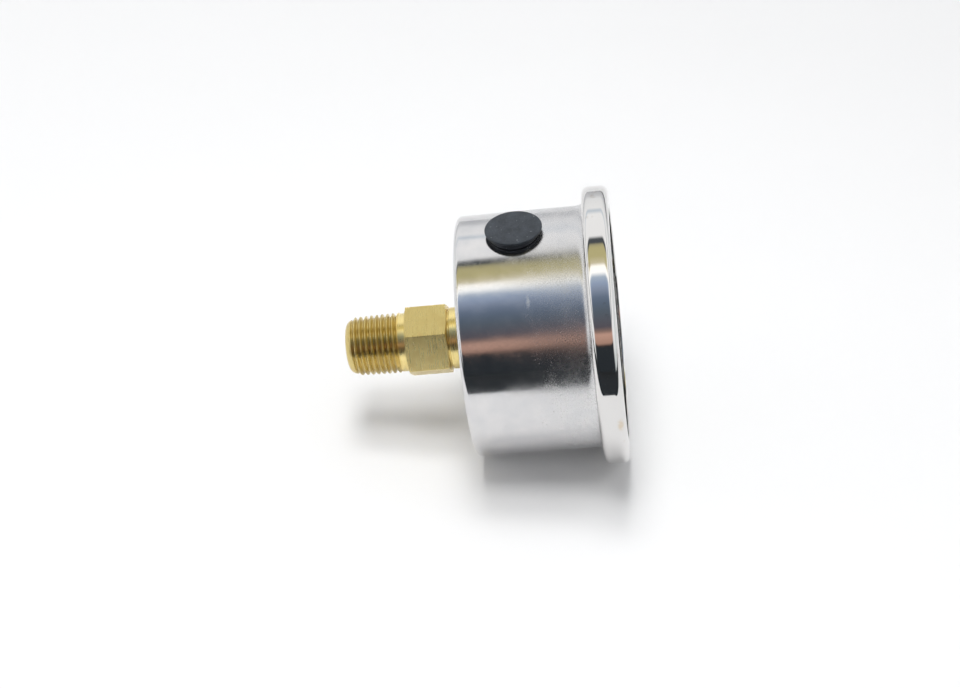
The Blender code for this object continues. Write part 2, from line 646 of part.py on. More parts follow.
GAUGE = empty("gauge_axis", None, turn=(90, 0, 0))
GAUGE.scale = (0.001, 0.001, 0.001)
PLUG_AXIS = empty("plug_axis", GAUGE, (0, 0, PLUG_Z), (-90, 0, 0))
POINTER_AXIS = empty("pointer_axis", GAUGE)
GEAR_CENTRES = GEAR_MODULE * (PINION_TEETH + SECTOR_TEETH) / 2
SECTOR_AXIS = empty("sector_axis", GAUGE, (*clock(SECTOR_CLOCK, GEAR_CENTRES), 0))
TAIL_ANGLE = math.radians(15)
TAIL = (TAIL_LENGTH * math.cos(TAIL_ANGLE), TAIL_LENGTH * math.sin(TAIL_ANGLE), 0)
LINK_AXIS = empty("link_axis", SECTOR_AXIS, TAIL)
TUBE_ROOT = empty("tube_root", GAUGE, (0, -TUBE_RADIUS, 0))

make_socket()
make_restrictor()
make_case()
make_bezel()
make_window()
make_plug()
make_socket_fixing()
make_block()
make_tube()
make_tip()
make_movement_frame()
make_pinion()
make_sector()
make_link()
make_hairspring()
make_dial()
make_pointer()
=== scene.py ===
"""Looks of the pressure gauge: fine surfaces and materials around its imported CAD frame.

Outlines are in millimetres along the gauge's own axes. x is right and y is up for somebody reading the dial,
and z runs from the thread's end towards the dial. GAUGE turns them into the frame's metres, where the dial
faces -Y and +Z is up. A turned outline is a list of (radius, height along its axis).
"""
import json
import math

import bmesh
import bpy
from mathutils import Matrix, Vector, noise


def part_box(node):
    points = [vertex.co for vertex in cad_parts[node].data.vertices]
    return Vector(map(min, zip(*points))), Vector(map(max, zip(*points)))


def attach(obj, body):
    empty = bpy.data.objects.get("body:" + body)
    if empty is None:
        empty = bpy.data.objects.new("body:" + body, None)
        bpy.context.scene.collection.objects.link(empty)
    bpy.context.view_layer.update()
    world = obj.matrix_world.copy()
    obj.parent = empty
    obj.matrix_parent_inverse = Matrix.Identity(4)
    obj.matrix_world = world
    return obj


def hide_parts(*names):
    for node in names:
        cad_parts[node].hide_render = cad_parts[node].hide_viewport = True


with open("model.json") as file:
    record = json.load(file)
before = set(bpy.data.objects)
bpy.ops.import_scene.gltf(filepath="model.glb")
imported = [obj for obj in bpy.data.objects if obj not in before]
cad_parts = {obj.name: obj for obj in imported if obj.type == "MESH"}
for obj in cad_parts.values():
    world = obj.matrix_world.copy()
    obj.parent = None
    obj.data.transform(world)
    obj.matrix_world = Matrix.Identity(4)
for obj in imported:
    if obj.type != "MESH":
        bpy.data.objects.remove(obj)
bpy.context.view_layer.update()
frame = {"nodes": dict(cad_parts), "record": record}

MM = 0.001
GAUGE = Matrix.Rotation(math.radians(90), 4, "X") @ Matrix.Scale(MM, 4)


def measured(node):
    """A node's greatest radius about the gauge's axis, and its back and front along it."""
    low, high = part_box(node)
    return high.x / MM, -high.y / MM, -low.y / MM


# Driving sizes, read from the frame where it holds them.
FLANGE_RADIUS, CASE_BACK, CASE_FRONT = measured("case_shell")
BEZEL_RADIUS, BEZEL_BACK, BEZEL_FRONT = measured("bezel_ring")
WINDOW_RADIUS, WINDOW_BACK, WINDOW_FACE = measured("window_lens")
GASKET_RADIUS, GASKET_BACK, GASKET_FRONT = measured("window_gasket")
DIAL_RADIUS, DIAL_BACK, DIAL_FACE = measured("dial_plate")
POINTER_BACK, POINTER_FRONT = measured("pointer")[1:]
HUB_RADIUS, HUB_BACK, HUB_FRONT = measured("pointer_hub")
FLANGE_WIDTH = 2.2
CASE_RADIUS = FLANGE_RADIUS - FLANGE_WIDTH
CASE_WALL = 0.6
CASE_CORNER = 0.9
FLARE = 2.0
OPENING_RADIUS = 20.3
BEZEL_WALL = 0.5
BEZEL_FRONT_ROUND = 1.3
BEZEL_BACK_ROUND = 1.2
LIP_RADIUS = 21.8
LIP_THICKNESS = 0.55
SEAL_OPENING_RADIUS = 20.4

THREAD_PITCH = 25.4 / 27
THREAD_DEPTH = 0.58
THREAD_END_RADIUS = 4.95
THREAD_TAPER = 1 / 32
THREAD_LENGTH = 9.2
THREAD_RUN_OUT = 0.5
PIPE_RADIUS = 5.145
RELIEF_RADIUS = 5.0
HEX_FLATS = 11.11
HEX_BACK, HEX_FRONT = 10.45, 17.7
HEX_TURN = 15.3
HEX_EDGE = 0.12
NECK_RADIUS = 5.25
NECK_END = 20.7
GROOVE_RADIUS = 4.8
SPIGOT_RADIUS = 4.0
SPIGOT_END = 25.2
SOCKET_HOLE_RADIUS = SPIGOT_RADIUS + 0.3
BLOCK_SPIGOT_RADIUS = 2.5
BLOCK_SPIGOT_END = 27.4
BORE_RADIUS = 1.7
BORE_END = 9.6
NARROW_BORE_RADIUS = 1.0
NARROW_BORE_START = 10.0

PLUG_Z = 31.0
PLUG_RADIUS = 4.75
PLUG_HEIGHT = 1.25
PLUG_TOP = CASE_RADIUS + PLUG_HEIGHT
PLUG_CROWN_RADIUS = 4.3
PLUG_CROWN_DROP = 0.10
PLUG_NECK_RADIUS = 4.3
PLUG_SHANK_RADIUS = 2.9
PLUG_BEAD_RADIUS = 3.1
PLUG_BOTTOM = 18.2
PLUG_HOLE_RADIUS = 3.3
PLUG_SEAT_GAP = 0.12
PLUG_SEAT_RADIUS = CASE_RADIUS + PLUG_SEAT_GAP
PLUG_AXIS = GAUGE @ Matrix.Translation((0, 0, PLUG_Z)) @ Matrix.Rotation(math.radians(-90), 4, "X")

DIAL_SCREWS = ((-7.6, 0.0), (7.6, 0.6))
DIAL_SCREW_RADIUS = 1.2
DIAL_SCREW_HOLE_RADIUS = 0.75
HUB_HOLE_RADIUS = 1.2
SCALE_START, SCALE_SWEEP = 225, 270
FULL_SCALE = 160
STOP_TURN = SCALE_START - 5
STOP_PLACE_RADIUS = 12.5
STOP_HOLE_RADIUS = 0.6
STOP_PIN_RADIUS = 0.4
INK_THICKNESS = 0.02
LETTER_LIFT = 0.012
# A scale holds its unit in psi, its values, its line's two radii, where its marks end, each kind of mark's
# (start, width), its numbers' (radius, size) and its unit's (word, size, height). numbers_shift is in degrees
# clockwise, and keeps the end numbers clear of the pointer at its limits.
PSI_SCALE = {
    "per_unit": 1,
    "values": range(0, FULL_SCALE + 1, 4),
    "long_every": 20,
    "line": (18.1, 18.25),
    "marks_end": 18.15,
    "long_mark": (15.4, 0.34),
    "short_mark": (16.9, 0.16),
    "numbers": (13.2, 2.3),
    "numbers_shift": {0: 7, FULL_SCALE: -9},
    "unit": ("psi", 2.2, -11.6),
}
BAR_SCALE = {
    "per_unit": 14.504,
    "values": range(12),
    "long_every": 2,
    "line": (11.1, 11.2),
    "marks_end": 11.15,
    "long_mark": (10.4, 0.2),
    "short_mark": (10.7, 0.12),
    "numbers": (9.55, 1.35),
    "numbers_shift": {},
    "unit": ("bar", 1.5, -8.6),
}

POINTER_TAIL, POINTER_REACH = 6, 14.8
POINTER_BOSS_RADIUS = 1.75

ROUND = [math.tau * step / 256 for step in range(256)]
COARSE = [math.tau * step / 64 for step in range(64)]


# ---------------------------------------------------------------- shapes


def clock(angle, radius):
    """The point at a radius and a clock angle, in degrees clockwise from twelve."""
    turn = math.radians(angle)
    return radius * math.sin(turn), radius * math.cos(turn)


def arc(centre, radius, start, end, steps=10):
    """Points on an arc, from one angle to another in degrees anticlockwise from +x."""
    angles = [math.radians(start + (end - start) * step / steps) for step in range(steps + 1)]
    return [(centre[0] + radius * math.cos(a), centre[1] + radius * math.sin(a)) for a in angles]


def eased(outline, closed=True, reach=0.04):
    """The outline with two more points on each long stretch, so that its shading stays flat there."""
    points = []
    for start, end in zip(outline, outline[1:] + outline[:1]):
        points.append(start)
        length = math.dist(start, end)
        if length > 6 * reach and (closed or start is not outline[-1]):
            for share in (reach / length, 1 - reach / length):
                points.append(tuple(a + (b - a) * share for a, b in zip(start, end)))
    return points


def turned(rows, angles=ROUND, place=GAUGE, closed=True):
    """A solid turned about its axis. A row is (radius, height), or a function of the angle that gives both.

    An open one has no faces between its last row and its first, so it starts and ends on the axis."""
    shape = bmesh.new()
    rings = []
    for row in rows:
        places = [row(angle) if callable(row) else row for angle in angles]
        if max(radius for radius, _ in places) == 0:
            rings.append([shape.verts.new((0, 0, places[0][1]))] * len(angles))
            continue
        ring = []
        for angle, (radius, height) in zip(angles, places):
            ring.append(shape.verts.new((radius * math.cos(angle), radius * math.sin(angle), height)))
        rings.append(ring)
    for one, two in zip(rings, rings[1:] + (rings[:1] if closed else [])):
        for k in range(len(angles)):
            corners = dict.fromkeys((one[k - 1], one[k], two[k], two[k - 1]))
            if len(corners) > 2:
                shape.faces.new(corners)
    bmesh.ops.recalc_face_normals(shape, faces=shape.faces)
    bmesh.ops.transform(shape, matrix=place, verts=shape.verts)
    return shape


def loose(shape):
    """The shape as an object that is only read, never kept."""
    mesh = bpy.data.meshes.new("loose")
    shape.to_mesh(mesh)
    shape.free()
    made = bpy.data.objects.new("loose", mesh)
    bpy.context.scene.collection.objects.link(made)
    return made


def as_shape(thing):
    """The object's mesh with its modifiers, after which the object is gone."""
    graph = bpy.context.evaluated_depsgraph_get()
    mesh = bpy.data.meshes.new_from_object(thing.evaluated_get(graph))
    shape = bmesh.new()
    shape.from_mesh(mesh)
    bpy.data.objects.remove(thing)
    bpy.data.meshes.remove(mesh)
    return shape


def carved(shape, *cutters):
    """The shape with the cutters' shapes taken out of it."""
    target = loose(shape)
    tools = [loose(cutter) for cutter in cutters]
    for tool in tools:
        modifier = target.modifiers.new("cut", "BOOLEAN")
        modifier.operation = "DIFFERENCE"
        modifier.object = tool
    made = as_shape(target)
    for tool in tools:
        bpy.data.objects.remove(tool)
    return made


def flat(outlines, low, high, place=GAUGE, edge=0.0):
    """A flat piece with rounded edges from closed outlines; those after the first are holes in it."""
    curve = bpy.data.curves.new("flat", "CURVE")
    curve.dimensions = "2D"
    curve.fill_mode = "BOTH"
    curve.extrude = (high - low) / 2 - edge
    curve.bevel_depth = edge
    curve.bevel_resolution = 2
    curve.offset = -edge
    for outline in outlines:
        spline = curve.splines.new("POLY")
        spline.points.add(len(outline) - 1)
        spline.use_cyclic_u = True
        for point, (x, y) in zip(spline.points, outline):
            point.co = (x, y, 0, 1)
    drawn = bpy.data.objects.new("flat", curve)
    bpy.context.scene.collection.objects.link(drawn)
    shape = as_shape(drawn)
    bmesh.ops.remove_doubles(shape, verts=shape.verts, dist=0.0001)
    bmesh.ops.recalc_face_normals(shape, faces=shape.faces)
    middle = Matrix.Translation((0, 0, (low + high) / 2))
    bmesh.ops.transform(shape, matrix=place @ middle, verts=shape.verts)
    return shape


def circle(radius, at=(0, 0), steps=48):
    """A closed round outline."""
    return arc(at, radius, 0, 360, steps)[:-1]


def block(low, high, place=GAUGE):
    """A box from its lowest corner to its highest, for a slot's cutter or a printed mark."""
    shape = bmesh.new()
    bmesh.ops.create_cube(shape, size=1)
    size = [b - a for a, b in zip(low, high)]
    middle = [(a + b) / 2 for a, b in zip(low, high)]
    sized = Matrix.Translation(middle) @ Matrix.Diagonal((*size, 1))
    bmesh.ops.transform(shape, matrix=place @ sized, verts=shape.verts)
    return shape


def merged(shapes):
    """The shapes as one."""
    whole = bmesh.new()
    for shape in shapes:
        mesh = bpy.data.meshes.new("part")
        shape.to_mesh(mesh)
        shape.free()
        whole.from_mesh(mesh)
        bpy.data.meshes.remove(mesh)
    return whole


def piece(name, shape, finish, body, stands_for=(), sharp=32):
    """The shape as a piece that rides on a body. Edges turned by more than sharp degrees stay crisp."""
    mesh = bpy.data.meshes.new(name)
    shape.to_mesh(mesh)
    shape.free()
    mesh.shade_smooth()
    mesh.set_sharp_from_angle(angle=math.radians(sharp))
    mesh.materials.append(finish)
    made = bpy.data.objects.new(name, mesh)
    bpy.context.scene.collection.objects.link(made)
    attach(made, body)
    if stands_for:
        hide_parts(*stands_for)


# ---------------------------------------------------------------- materials


def node(tree, kind, inputs=(), **settings):
    """A shader node. inputs are (socket name or number, value or socket to link)."""
    made = tree.nodes.new(kind)
    for key, value in settings.items():
        setattr(made, key, value)
    for key, value in inputs:
        if isinstance(value, bpy.types.NodeSocket):
            tree.links.new(value, made.inputs[key])
        else:
            made.inputs[key].default_value = value
    return made


def blank(name):
    """A new material, its node tree and its Principled shader."""
    made = bpy.data.materials.new(name)
    made.use_nodes = True
    return made, made.node_tree, made.node_tree.nodes["Principled BSDF"]


def spots(tree, per_mm, stretch=(1, 1, 1), detail=3.0):
    """Noise that stays on the piece, with a number of patches to the millimetre along each frame axis."""
    place = node(tree, "ShaderNodeTexCoord").outputs["Object"]
    scale = [per_mm * part / MM for part in stretch]
    mapped = node(tree, "ShaderNodeMapping", [("Vector", place), ("Scale", scale)])
    inputs = [("Vector", mapped.outputs[0]), ("Scale", 1.0), ("Detail", detail)]
    return node(tree, "ShaderNodeTexNoise", inputs).outputs[0]


def spread(tree, value, span, onto, smooth=False):
    """The value, mapped from one span onto another and kept inside it."""
    inputs = [("Value", value), ("From Min", span[0]), ("From Max", span[1])]
    inputs += [("To Min", onto[0]), ("To Max", onto[1])]
    kind = "SMOOTHSTEP" if smooth else "LINEAR"
    return node(tree, "ShaderNodeMapRange", inputs, interpolation_type=kind).outputs[0]


def maths(tree, operation, one, two=0.0):
    """One step of arithmetic on values or sockets."""
    return node(tree, "ShaderNodeMath", [(0, one), (1, two)], operation=operation).outputs[0]


def blended(tree, share, one, two):
    """A colour between two, each a colour or a colour socket."""
    made = node(tree, "ShaderNodeMix", data_type="RGBA")
    for key, value in ((0, share), (6, one), (7, two)):
        if isinstance(value, bpy.types.NodeSocket):
            tree.links.new(value, made.inputs[key])
        else:
            made.inputs[key].default_value = (*value, 1) if key else value
    return made.outputs[2]


def along(tree, axis="Y"):
    """Where a point of the piece lies along a frame axis, in millimetres."""
    place = node(tree, "ShaderNodeTexCoord").outputs["Object"]
    part = node(tree, "ShaderNodeSeparateXYZ", [("Vector", place)]).outputs[axis]
    return maths(tree, "MULTIPLY", part, 1 / MM)


def relief(tree, height, depth, under=None):
    """A bump of a depth in millimetres, over another if there is one."""
    inputs = [("Height", height), ("Strength", 1.0), ("Distance", depth * MM)]
    if under:
        inputs.append(("Normal", under))
    return node(tree, "ShaderNodeBump", inputs).outputs[0]


def smear_at(tree, middle, reach):
    """A ragged smear on the piece. Its middle and reach are in millimetres along the frame's axes."""
    place = node(tree, "ShaderNodeTexCoord").outputs["Object"]
    scale = [1 / part / MM for part in reach]
    shift = [-part / size for part, size in zip(middle, reach)]
    mapped = node(tree, "ShaderNodeMapping", [("Vector", place), ("Location", shift), ("Scale", scale)])
    away = node(tree, "ShaderNodeVectorMath", [(0, mapped.outputs[0])], operation="LENGTH").outputs["Value"]
    whole = spread(tree, away, (0.2, 1), (1, 0), True)
    return maths(tree, "MULTIPLY", whole, spread(tree, spots(tree, 2.2), (0.3, 0.6), (0, 0.8)))


def case_metal():
    """Bright stainless steel, drawn and polished: crisp at the back and grainier towards the bezel."""
    made, tree, shader = blank("polished_case_steel")
    grainy = spread(tree, along(tree), (-24, -40), (0, 1), True)
    fine = spots(tree, 5.5, detail=4)
    cloudy = spots(tree, 0.35)
    rough = spread(tree, grainy, (0, 1), (0.06, 0.20))
    rough = maths(tree, "ADD", rough, spread(tree, fine, (0.35, 0.75), (0, 0.13)))
    rough = maths(tree, "ADD", rough, spread(tree, cloudy, (0.45, 0.7), (0, 0.05)))
    colour = blended(tree, spread(tree, cloudy, (0.3, 0.7), (0, 1)), (0.64, 0.64, 0.65), (0.71, 0.70, 0.70))
    speck = spread(tree, spots(tree, 6.5, detail=2), (0.5, 0.72), (0, 0.35))
    colour = blended(tree, maths(tree, "MULTIPLY", speck, grainy), colour, (0.36, 0.36, 0.37))
    dirt = spread(tree, spots(tree, 1.8, detail=2), (0.75, 0.77), (0, 0.6))
    colour = blended(tree, dirt, colour, (0.16, 0.15, 0.14))
    # A whitish smear on the case's side, below the plug.
    smear = smear_at(tree, (-13, -32.8, 16), (1.6, 0.45, 1.6))
    tree.links.new(blended(tree, smear, colour, (0.86, 0.87, 0.88)), shader.inputs["Base Color"])
    tree.links.new(maths(tree, "ADD", rough, maths(tree, "MULTIPLY", smear, 0.3)), shader.inputs["Roughness"])
    drawn = relief(tree, spots(tree, 0.22, (1, 0.5, 1), 2), 0.022)
    tree.links.new(relief(tree, fine, 0.0018, drawn), shader.inputs["Normal"])
    shader.inputs["Metallic"].default_value = 1.0
    return made


def bezel_metal():
    """The same steel with a mirror polish, a few finger smudges, a faint stain and hairline scratches."""
    made, tree, shader = blank("mirror_bezel_steel")
    smudge = spread(tree, spots(tree, 0.3, detail=5), (0.63, 0.72), (0, 0.6), True)
    hairs = spots(tree, 1.0, (0.25, 9, 0.25), 2)
    rough = spread(tree, smudge, (0, 1), (0.05, 0.17))
    rough = maths(tree, "ADD", rough, spread(tree, hairs, (0.55, 0.8), (0, 0.06)))
    tree.links.new(rough, shader.inputs["Roughness"])
    colour = blended(tree, smudge, (0.72, 0.71, 0.70), (0.55, 0.50, 0.45))
    stain = smear_at(tree, (-23.2, -45.8, -2.5), (1.6, 0.8, 1.9))
    tree.links.new(blended(tree, stain, colour, (0.64, 0.54, 0.40)), shader.inputs["Base Color"])
    soft = relief(tree, spots(tree, 0.16, detail=1), 0.01)
    tree.links.new(relief(tree, hairs, 0.0004, soft), shader.inputs["Normal"])
    shader.inputs["Metallic"].default_value = 1.0
    return made


def brass_metal(name, bright, dull, rough, lines):
    """Turned brass: fine tool lines round the axis, a few deeper ones, and patches dulled by handling.

    The stretch that the thread takes up is painted darker: painted shade on the thread."""
    made, tree, shader = blank(name)
    tool = spots(tree, 1.0, (0.12, 7, 0.12), 4)
    deep = spread(tree, spots(tree, 1.0, (0.2, 3.1, 0.2), 1), (0.62, 0.78), (0, 1))
    patches = spread(tree, spots(tree, 0.5, detail=6), (0.40, 0.72), (0, 1), True)
    colour = blended(tree, patches, bright, dull)
    # Painted shade: the stretch that the thread takes up gets a darker colour.
    painted_thread_shade = spread(tree, along(tree), (-THREAD_LENGTH, -THREAD_LENGTH + THREAD_RUN_OUT), (0, 1))
    colour = blended(tree, painted_thread_shade, colour, tuple(part * 0.78 for part in dull))
    tree.links.new(colour, shader.inputs["Base Color"])
    handled = spread(tree, patches, (0, 1), (0, 0.04))
    rough = maths(tree, "ADD", spread(tree, tool, (0.3, 0.7), rough), handled)
    tree.links.new(rough, shader.inputs["Roughness"])
    cut = relief(tree, tool, lines)
    cut = relief(tree, deep, lines * 1.6, cut)
    tree.links.new(relief(tree, spots(tree, 0.8, detail=1), 0.003, cut), shader.inputs["Normal"])
    shader.inputs["Metallic"].default_value = 1.0
    return made


def plain_metal(name, colour, rough, stretch):
    """Steel or bronze that is hidden or small: its colour, grain and roughness vary a little."""
    made, tree, shader = blank(name)
    grain = spots(tree, 2.0, stretch, 3)
    darker = tuple(part * 0.78 for part in colour)
    colour = blended(tree, spread(tree, grain, (0.35, 0.65), (0, 1)), colour, darker)
    tree.links.new(colour, shader.inputs["Base Color"])
    tree.links.new(spread(tree, grain, (0.3, 0.7), rough), shader.inputs["Roughness"])
    tree.links.new(relief(tree, grain, 0.002), shader.inputs["Normal"])
    shader.inputs["Metallic"].default_value = 1.0
    return made


def rubber():
    """Moulded black rubber: matte, finely grained, with dust caught on it."""
    made, tree, shader = blank("black_rubber")
    grain = spots(tree, 4.0, detail=4)
    cloud = spots(tree, 0.6, detail=3)
    cloud = spread(tree, cloud, (0.35, 0.65), (0, 1))
    colour = blended(tree, cloud, (0.014, 0.019, 0.026), (0.028, 0.035, 0.045))
    dust = spread(tree, spots(tree, 2.6, detail=3), (0.69, 0.74), (0, 1))
    tree.links.new(blended(tree, dust, colour, (0.22, 0.23, 0.24)), shader.inputs["Base Color"])
    tree.links.new(spread(tree, grain, (0.3, 0.7), (0.42, 0.62)), shader.inputs["Roughness"])
    tree.links.new(relief(tree, grain, 0.006), shader.inputs["Normal"])
    return made


def window_plastic():
    """Clear window: see-through, with a little mirroring that grows towards the edge-on view."""
    made, tree, shader = blank("clear_window")
    tree.nodes.remove(shader)
    out = tree.nodes["Material Output"]
    wave = relief(tree, spots(tree, 0.08, detail=1), 0.02)
    gloss = [("Color", (1, 1, 1, 1)), ("Roughness", 0.02), ("Normal", wave)]
    gloss = node(tree, "ShaderNodeBsdfGlossy", gloss)
    clear = node(tree, "ShaderNodeBsdfTransparent", [("Color", (0.985, 0.992, 0.987, 1))])
    # The same from inside as from outside, so that the window stays clear at a slant.
    slant = node(tree, "ShaderNodeLayerWeight", [("Blend", 0.5)]).outputs["Facing"]
    share = spread(tree, maths(tree, "POWER", slant, 5.0), (0, 1), (0.03, 0.9))
    mixed = node(tree, "ShaderNodeMixShader", [(0, share), (1, clear.outputs[0]), (2, gloss.outputs[0])])
    tree.links.new(mixed.outputs[0], out.inputs["Surface"])
    return made


def paint(name, colour, shade, rough, grain=0.002):
    """Smooth paint or ink, mottled between two close colours, with a grain of a depth in millimetres."""
    made, tree, shader = blank(name)
    mottle = spread(tree, spots(tree, 0.7, detail=4), (0.35, 0.65), (0, 1))
    tree.links.new(blended(tree, mottle, colour, shade), shader.inputs["Base Color"])
    tree.links.new(spread(tree, spots(tree, 5.0), (0.3, 0.7), rough), shader.inputs["Roughness"])
    tree.links.new(relief(tree, spots(tree, 6.0), grain), shader.inputs["Normal"])
    return made


# ---------------------------------------------------------------- camera, stage and light

LENS = 69.15
CAMERA_PLACE = (-0.24848, -0.05189, 0.19253)
CAMERA_TURN = (51.809, 7.1849, -88.894)
FLOOR_TILT = 8.3
FLOOR_REACH = 3.0
FLOOR_GAP = 0.01
FLOOR_GREY = (0.90, 0.90, 0.90)
FLOOR_GLOW = 0.45
GLOW_START, GLOW_FULL = 0.12, 0.7
CARD_EDGE = -0.092
CARD_LIFT = 0.0005
CARD_GREY = (0.02, 0.024, 0.028)
SKY = (0.50, 0.505, 0.515)
PALE = (0.94, 0.95, 0.965)
# What polished metal mirrors of the room, by the angle in degrees up from the horizon on the -X side.
ROOM = (
    (0, (0.028, 0.034, 0.040)),
    (20, (0.030, 0.036, 0.042)),
    (21, (0.05, 0.04, 0.04)),
    (23, (0.50, 0.30, 0.23)),
    (30, (0.66, 0.40, 0.31)),
    (32.5, (0.30, 0.20, 0.17)),
    (36, (0.12, 0.11, 0.13)),
    (48, (0.118, 0.147, 0.184)),
    (55, (0.137, 0.18, 0.247)),
    (60, (0.17, 0.22, 0.31)),
    (66, (0.29, 0.35, 0.47)),
    (72, (0.38, 0.47, 0.64)),
    (77, (0.52, 0.62, 0.75)),
    (81, (1.45, 1.45, 1.42)),
    (86, (1.5, 1.46, 1.36)),
    (89, (0.78, 0.70, 0.48)),
    (95, (0.61, 0.55, 0.28)),
    (103, (0.60, 0.54, 0.27)),
    (106, (0.47, 0.43, 0.25)),
    (108, (0.09, 0.10, 0.11)),
    (112, (0.09, 0.10, 0.11)),
    (115, (1.08, 1.08, 1.08)),
    (140, (1.10, 1.10, 1.10)),
    (145, (0.66, 0.74, 0.82)),
    (149, (1.05, 1.05, 1.05)),
    (164, (0.95, 0.96, 0.97)),
    (171, (0.68, 0.69, 0.71)),
    (180, (0.55, 0.56, 0.58)),
)
# What the faces that look towards the dial's side or the thread's side mirror, by the sine of the angle up.
ENDS = (
    (0.0, (0.80, 0.86, 0.86)),
    (0.15, (1.0, 1.01, 1.02)),
    (0.44, (1.15, 1.15, 1.15)),
    (0.47, (0.16, 0.18, 0.21)),
    (0.51, (0.16, 0.18, 0.21)),
    (0.55, (1.2, 1.2, 1.2)),
    (0.78, (1.3, 1.3, 1.28)),
    (0.8, (0.4, 0.42, 0.45)),
    (0.83, (1.25, 1.25, 1.25)),
    (1.0, (1.2, 1.2, 1.2)),
)


def ramp(tree, value, stops, most):
    """The colour for a value, from (value, colour) stops."""
    made = node(tree, "ShaderNodeValToRGB", [("Fac", maths(tree, "DIVIDE", value, most))])
    elements = made.color_ramp.elements
    while len(elements) < len(stops):
        elements.new(1.0)
    for element, (at, colour) in zip(elements, stops):
        element.position = at / most
        element.color = (*colour, 1)
    return made.outputs[0]


def make_world():
    """Plain pale studio light. Only what metal mirrors has the room's bands in it."""
    world = bpy.data.worlds.new("studio")
    bpy.context.scene.world = world
    world.use_nodes = True
    tree = world.node_tree
    way = node(tree, "ShaderNodeTexCoord").outputs["Generated"]
    parts = node(tree, "ShaderNodeSeparateXYZ", [("Vector", way)])
    left = maths(tree, "MULTIPLY", parts.outputs["X"], -1.0)
    angle = maths(tree, "ARCTAN2", parts.outputs["Z"], left)
    room = ramp(tree, maths(tree, "MULTIPLY", angle, 180 / math.pi), ROOM, 180)
    ends = ramp(tree, parts.outputs["Z"], ENDS, 1)
    sideways = spread(tree, maths(tree, "ABSOLUTE", parts.outputs["Y"]), (0.52, 0.8), (0, 1), True)
    mirrored = blended(tree, sideways, room, ends)
    path = node(tree, "ShaderNodeLightPath")
    plain = blended(tree, path.outputs["Is Camera Ray"], SKY, PALE)
    colour = blended(tree, path.outputs["Is Glossy Ray"], plain, mirrored)
    tree.links.new(colour, tree.nodes["Background"].inputs["Color"])


def make_camera():
    """The camera, which looks at the gauge from its left and above."""
    data = bpy.data.cameras.new("camera")
    data.lens = LENS
    data.sensor_width = 36
    data.clip_start, data.clip_end = 0.01, 10
    camera = bpy.data.objects.new("camera", data)
    bpy.context.scene.collection.objects.link(camera)
    camera.location = CAMERA_PLACE
    camera.rotation_euler = [math.radians(angle) for angle in CAMERA_TURN]
    bpy.context.scene.camera = camera


def sheet_on_floor(name, x_span, y_span, lift, colour, far_glow=0.0):
    """A stage sheet in the floor's plane, which the bezel's rim and the case's back edge both touch.

    far_glow is the light that it gives far from the part, where the lamps don't reach."""
    (left, right), (near, far) = x_span, y_span
    shape = bmesh.new()
    corners = [(left, near, lift), (right, near, lift), (right, far, lift), (left, far, lift)]
    shape.faces.new([shape.verts.new(corner) for corner in corners])
    mesh = bpy.data.meshes.new(name)
    shape.to_mesh(mesh)
    shape.free()
    made = bpy.data.objects.new(name, mesh)
    bpy.context.scene.collection.objects.link(made)
    tilt = math.radians(FLOOR_TILT)
    centre = BEZEL_RADIUS - BEZEL_BACK_ROUND
    lowest = centre + BEZEL_BACK_ROUND * math.cos(tilt)
    touch = BEZEL_BACK + BEZEL_BACK_ROUND * (1 - math.sin(tilt))
    made.location = (0, -touch * MM, -(lowest + FLOOR_GAP) * MM)
    made.rotation_euler.x = tilt
    finish, tree, shader = blank(name)
    darker = tuple(part * 0.985 for part in colour)
    tree.links.new(blended(tree, spots(tree, 0.02), colour, darker), shader.inputs["Base Color"])
    shader.inputs["Roughness"].default_value = 0.9
    shader.inputs["Specular IOR Level"].default_value = 0.1
    shader.inputs["Emission Color"].default_value = (0.98, 0.99, 1.0, 1)
    away = node(tree, "ShaderNodeTexCoord").outputs["Object"]
    away = node(tree, "ShaderNodeVectorMath", [(0, away)], operation="LENGTH").outputs["Value"]
    glow = spread(tree, away, (GLOW_START, GLOW_FULL), (0, far_glow), True)
    tree.links.new(glow, shader.inputs["Emission Strength"])
    mesh.materials.append(finish)
    return made


def make_stage():
    """The pale floor, and a dark card that shows only in the metal."""
    across = (-FLOOR_REACH, FLOOR_REACH)
    sheet_on_floor("floor", across, across, 0, FLOOR_GREY, FLOOR_GLOW)
    # Something dark lies on the table out of view, and only the metal shows it.
    card = sheet_on_floor("dark_card", (-FLOOR_REACH, CARD_EDGE), across, CARD_LIFT, CARD_GREY)
    card.visible_camera = card.visible_diffuse = card.visible_shadow = False


def lamp(name, place, target, size, power):
    """A round lamp that lights the scene and that nothing mirrors."""
    data = bpy.data.lights.new(name, "AREA")
    data.shape = "DISK"
    data.size = size
    data.energy = power
    made = bpy.data.objects.new(name, data)
    bpy.context.scene.collection.objects.link(made)
    made.location = place
    made.rotation_euler = (Vector(target) - Vector(place)).to_track_quat("-Z", "Y").to_euler()
    made.visible_glossy = False


def make_lights():
    """Two soft lamps overhead and a weak one on each side, all aimed at the gauge's middle."""
    middle = (0, -0.025, -0.01)
    lamp("overhead", (0.05, -0.05, 0.50), middle, 0.18, 0.85)
    lamp("overhead_front", (-0.14, -0.04, 0.50), middle, 0.18, 0.95)
    lamp("dial_side", (-0.02, -0.42, 0.40), middle, 0.25, 0.16)
    lamp("thread_side", (-0.02, 0.40, 0.34), middle, 0.3, 0.10)


# ---------------------------------------------------------------- pieces


